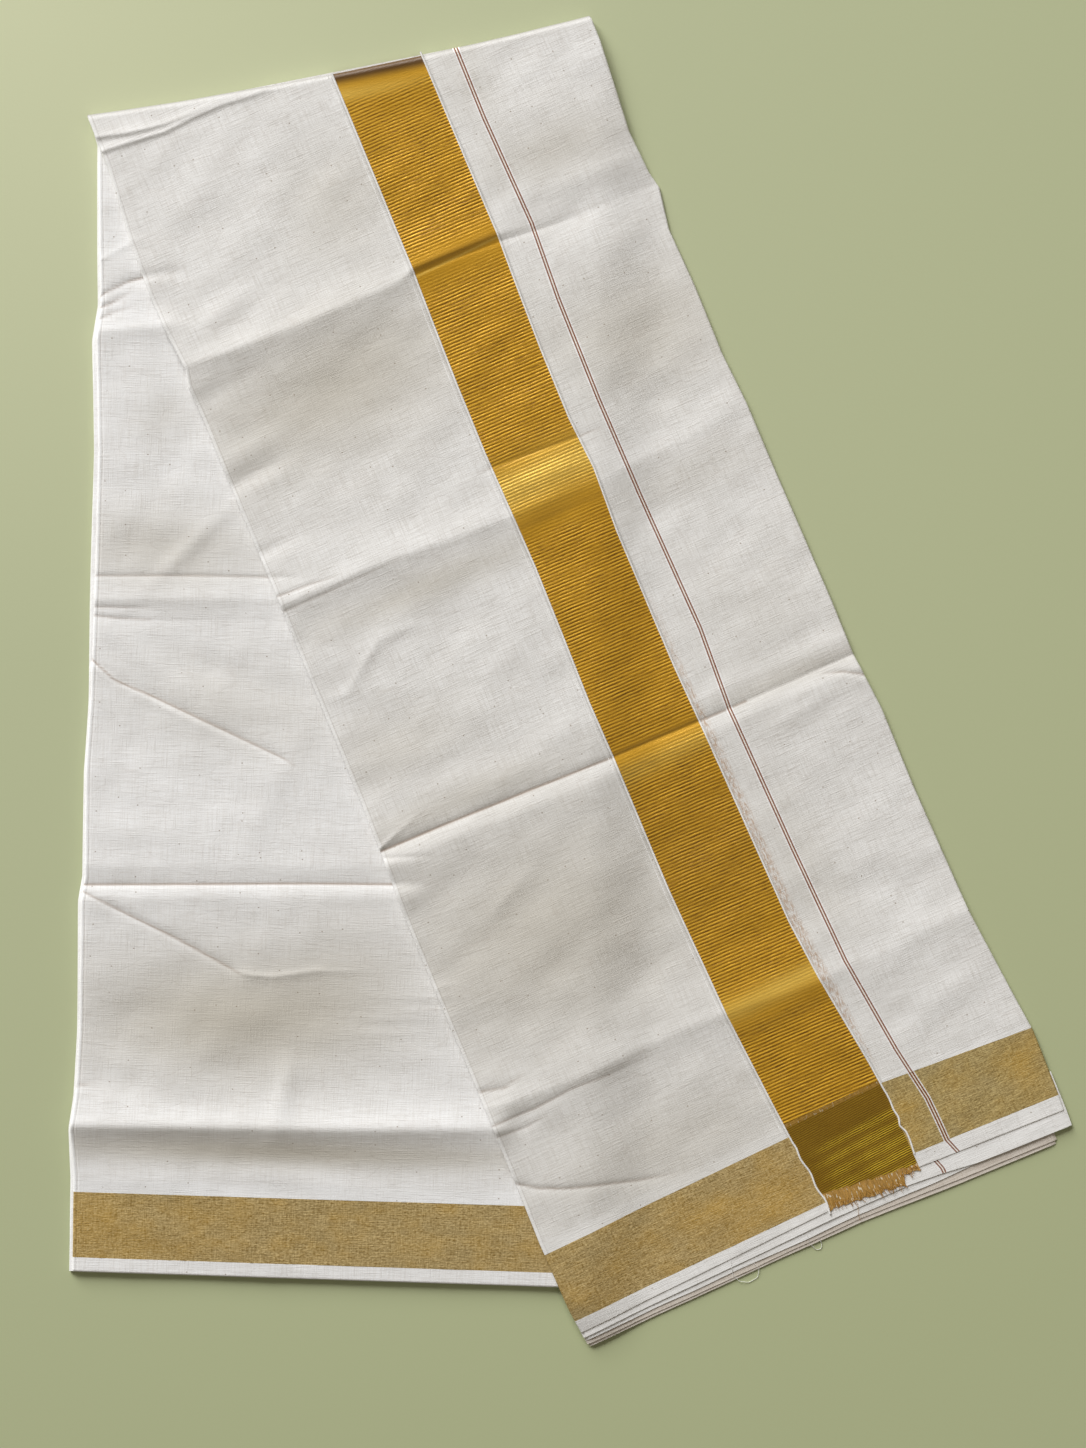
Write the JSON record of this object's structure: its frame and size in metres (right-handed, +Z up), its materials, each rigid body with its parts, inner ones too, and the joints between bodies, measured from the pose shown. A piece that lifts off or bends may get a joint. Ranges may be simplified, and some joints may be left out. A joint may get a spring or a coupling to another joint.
{
  "type": "folded dhoti cloth",
  "caption": "Cream cotton dhoti cloth with a wide gold zari border and zari end bands, folded in layers and laid flat, one leg folded over and fanned across the other.",
  "frame": {"origin": "middle of the folded cloth's box, on the surface it lies on", "axes": "+X to the right, from the lower leg towards the fanned upper leg; +Y from the open ends towards the top fold; +Z up, away from the surface"},
  "size_m": [0.8214, 1.0898, 0.0142],
  "materials": {
    "cotton": "matt plain weave",
    "zari": "metallic ribbed weave",
    "tissue": "soft metallic sheen"
  },
  "bodies": {
    "root": {"lower_layers": "cotton", "lower_face": "cotton", "lower_band": "tissue", "lower_heading": "cotton", "upper_layers": "cotton", "upper_face_left": "cotton", "zari_border": "zari", "upper_face_right": "cotton", "upper_band_left": "tissue", "upper_band_right": "tissue", "border_crossing": "zari", "upper_heading_left": "cotton", "upper_heading_right": "cotton"}
  },
  "joints": []
}
